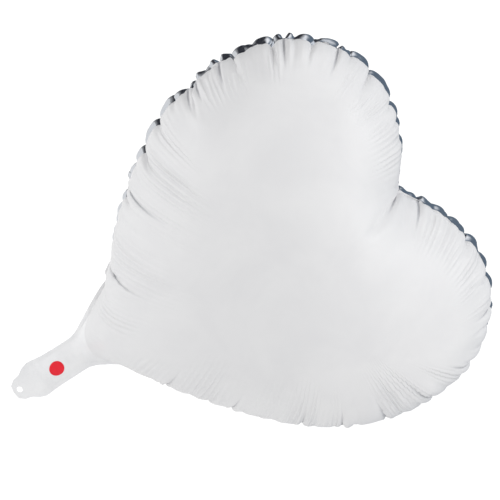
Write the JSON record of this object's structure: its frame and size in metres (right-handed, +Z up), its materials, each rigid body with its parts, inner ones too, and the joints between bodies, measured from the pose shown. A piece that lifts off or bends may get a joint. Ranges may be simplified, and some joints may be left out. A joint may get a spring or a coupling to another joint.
{
  "type": "heart-shaped foil balloon",
  "caption": "Inflated heart-shaped foil balloon: white front film, silver back film, welded rim, valve tail and punched hanging tab.",
  "frame": {"origin": "centre of the flat patch at the crown of the silver back film, where an adhesive dot holds the balloon to a wall", "axes": "+Z up along the heart's axis from the tail to the notch, +Y out of the back film towards the wall, the white front film faces -Y"},
  "size_m": [0.37, 0.2061, 0.444],
  "materials": {
    "white_foil": "satin white foil film",
    "silver_foil": "bright silver metallised film",
    "tail_film": "satin translucent white film",
    "sealing_layer": "fused heat seal",
    "clear_film": "clear polyethylene film",
    "red_print": "plain printed ink dot"
  },
  "bodies": {
    "heart": {"front_panel": "white_foil", "back_panel": "silver_foil", "rim_weld": "sealing_layer", "valve_front_tongue": "clear_film", "valve_back_tongue": "clear_film", "tongue_weld_left": "clear_film", "tongue_weld_right": "clear_film"},
    "tail": {"tail_front_film": "tail_film", "tail_back_film": "tail_film", "tail_weld_left": "sealing_layer", "tail_weld_right": "sealing_layer", "valve_front_film": "clear_film", "valve_back_film": "clear_film", "valve_weld_left": "clear_film", "valve_weld_right": "clear_film", "printed_dot": "red_print"},
    "tab": {"tab_front_film": "tail_film", "tab_back_film": "tail_film"}
  },
  "joints": [
    {"name": "tail_fold", "type": "hinge", "parent": "heart", "child": "tail", "pos_m": [0, -0.10305, -0.215], "axis": [1, 0, 0], "range_deg": [-90, 90]},
    {"name": "tab_fold", "type": "hinge", "parent": "tail", "child": "tab", "pos_m": [0, -0.10305, -0.274], "axis": [1, 0, 0], "range_deg": [-90, 90]}
  ]
}
